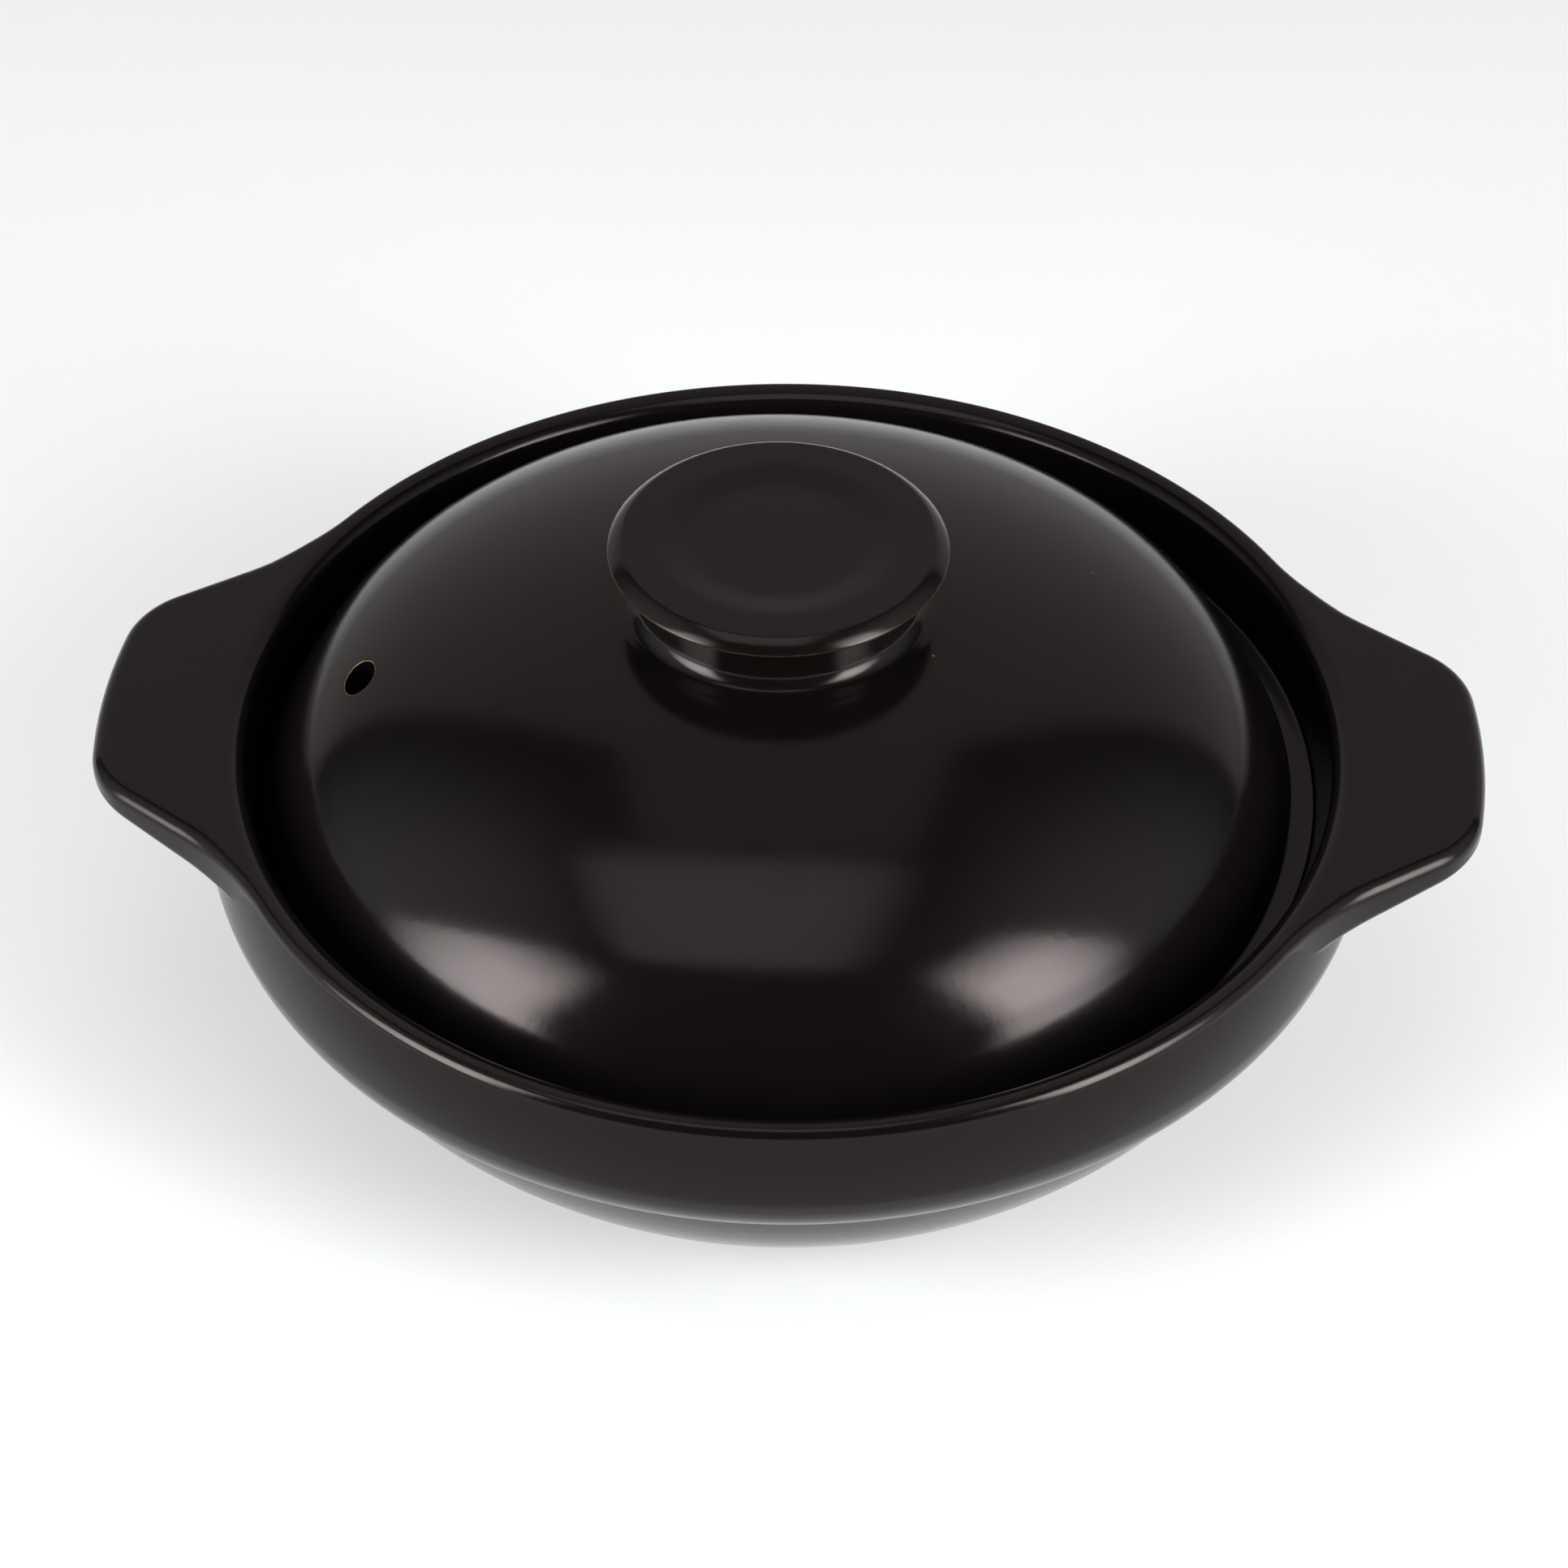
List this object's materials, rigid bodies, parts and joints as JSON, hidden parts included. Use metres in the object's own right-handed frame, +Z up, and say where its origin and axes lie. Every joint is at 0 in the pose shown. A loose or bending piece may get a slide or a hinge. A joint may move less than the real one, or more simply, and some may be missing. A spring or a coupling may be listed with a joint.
{
  "type": "earthenware stew pot",
  "caption": "Shallow lidded stew pot in glazed earthenware, with flat lug handles, a foot ring, and a domed lid with a disc knob and a steam hole.",
  "frame": {"origin": "centre of the foot ring, on the surface that the pot stands on", "axes": "+Z up along the pot's axis, X along the lug handles with the steam hole on the -X side, -Y towards the viewer of the picture"},
  "size_m": [0.2884, 0.243, 0.1226],
  "materials": {
    "pot_glaze": "near-black satin glaze on earthenware",
    "lug_glaze": "near-black satin glaze on earthenware",
    "lid_glaze": "near-black satin glaze on earthenware",
    "knob_glaze": "near-black satin glaze, breaking brown at the lower edge"
  },
  "bodies": {
    "pot": {"pot_body": "pot_glaze", "lug_handle_left": "lug_glaze", "lug_handle_right": "lug_glaze"},
    "lid": {"lid_dome": "lid_glaze", "lid_knob": "knob_glaze"}
  },
  "joints": [
    {"name": "lid_lift", "type": "slide", "parent": "pot", "child": "lid", "axis": [0, 0, 1], "range_m": [0, 0.15]}
  ]
}
